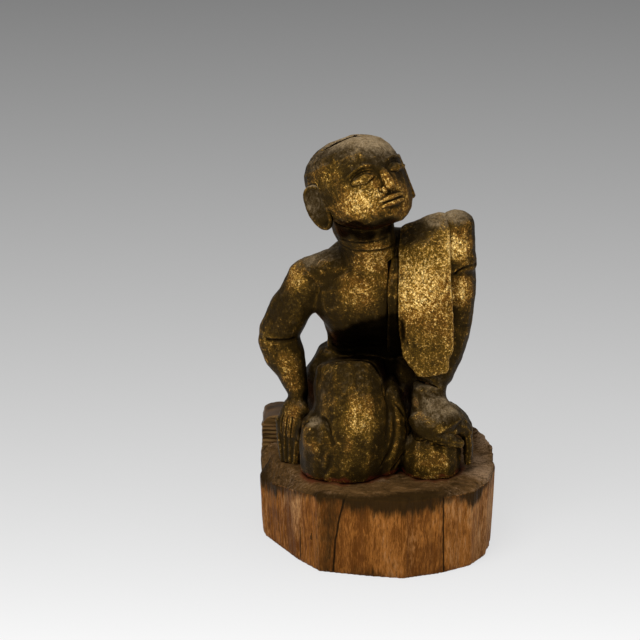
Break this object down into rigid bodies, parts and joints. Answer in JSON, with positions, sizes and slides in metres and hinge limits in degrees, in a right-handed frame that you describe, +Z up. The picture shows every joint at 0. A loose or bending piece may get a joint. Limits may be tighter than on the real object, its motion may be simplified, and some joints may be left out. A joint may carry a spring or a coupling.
{
  "type": "monk statue",
  "caption": "Carved, gilded wooden figure of a kneeling monk in a draped robe, leaning on one straight arm and looking up, on a hewn log base.",
  "frame": {"origin": "on the floor, in the middle of the base", "axes": "+Z up, the front of the base towards -Y, +X towards the figure's left"},
  "size_m": [0.168, 0.142, 0.2998],
  "materials": {
    "gilt": "worn gold leaf over dark lacquer",
    "lacquer": "dark lacquer with little gold left",
    "teak": "bare weathered teak with drying cracks",
    "block_teak": "dark waxed teak",
    "peg": "plain turned pegs, hidden"
  },
  "bodies": {
    "root": {"log_base": "teak", "rear_block": "block_teak", "lower_body": "gilt", "torso": "gilt", "robe_drape": "lacquer", "robe_panel": "gilt", "right_upper_arm": "gilt", "right_forearm": "gilt", "left_arm": "gilt", "left_hand": "gilt", "head": "gilt", "crown_cap": "lacquer", "right_ear": "gilt", "left_ear": "gilt", "base_peg_1": "peg", "base_peg_2": "peg", "base_peg_3": "peg", "waist_peg_1": "peg", "waist_peg_2": "peg", "neck_peg": "peg", "right_shoulder_peg": "peg", "right_elbow_peg": "peg", "left_shoulder_peg": "peg", "left_wrist_peg": "peg", "right_ear_peg": "peg", "left_ear_peg": "peg", "block_peg_1": "peg", "block_peg_2": "peg"}
  },
  "joints": []
}
